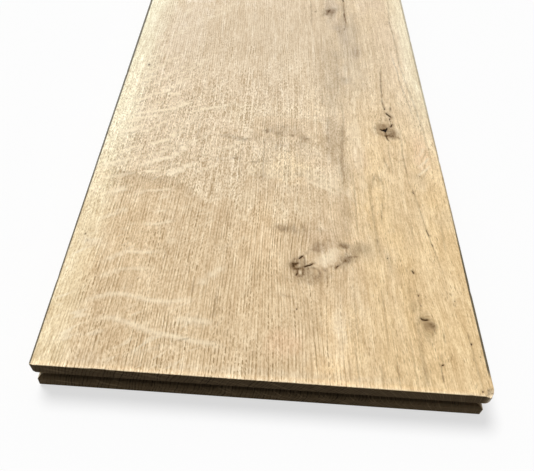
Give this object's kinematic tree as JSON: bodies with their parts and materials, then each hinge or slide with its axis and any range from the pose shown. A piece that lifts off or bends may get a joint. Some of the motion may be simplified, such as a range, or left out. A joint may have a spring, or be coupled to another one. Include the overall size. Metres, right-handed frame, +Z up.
{
  "type": "wide plank floorboard",
  "caption": "Wide solid oak floorboard with a groove for a loose tongue milled round all its edges, planed on both faces, with knots and drying cracks in the walked-on face.",
  "frame": {"origin": "middle of the underside, on the surface that the board lies on", "axes": "+Y along the board, with the pictured end at -Y; +X across it, to the right in the picture; +Z up out of the walked-on face"},
  "size_m": [0.22, 2.2, 0.02],
  "materials": {
    "oak": "planed and matt oiled"
  },
  "bodies": {
    "root": {"oak_floorboard": "oak"}
  },
  "joints": []
}
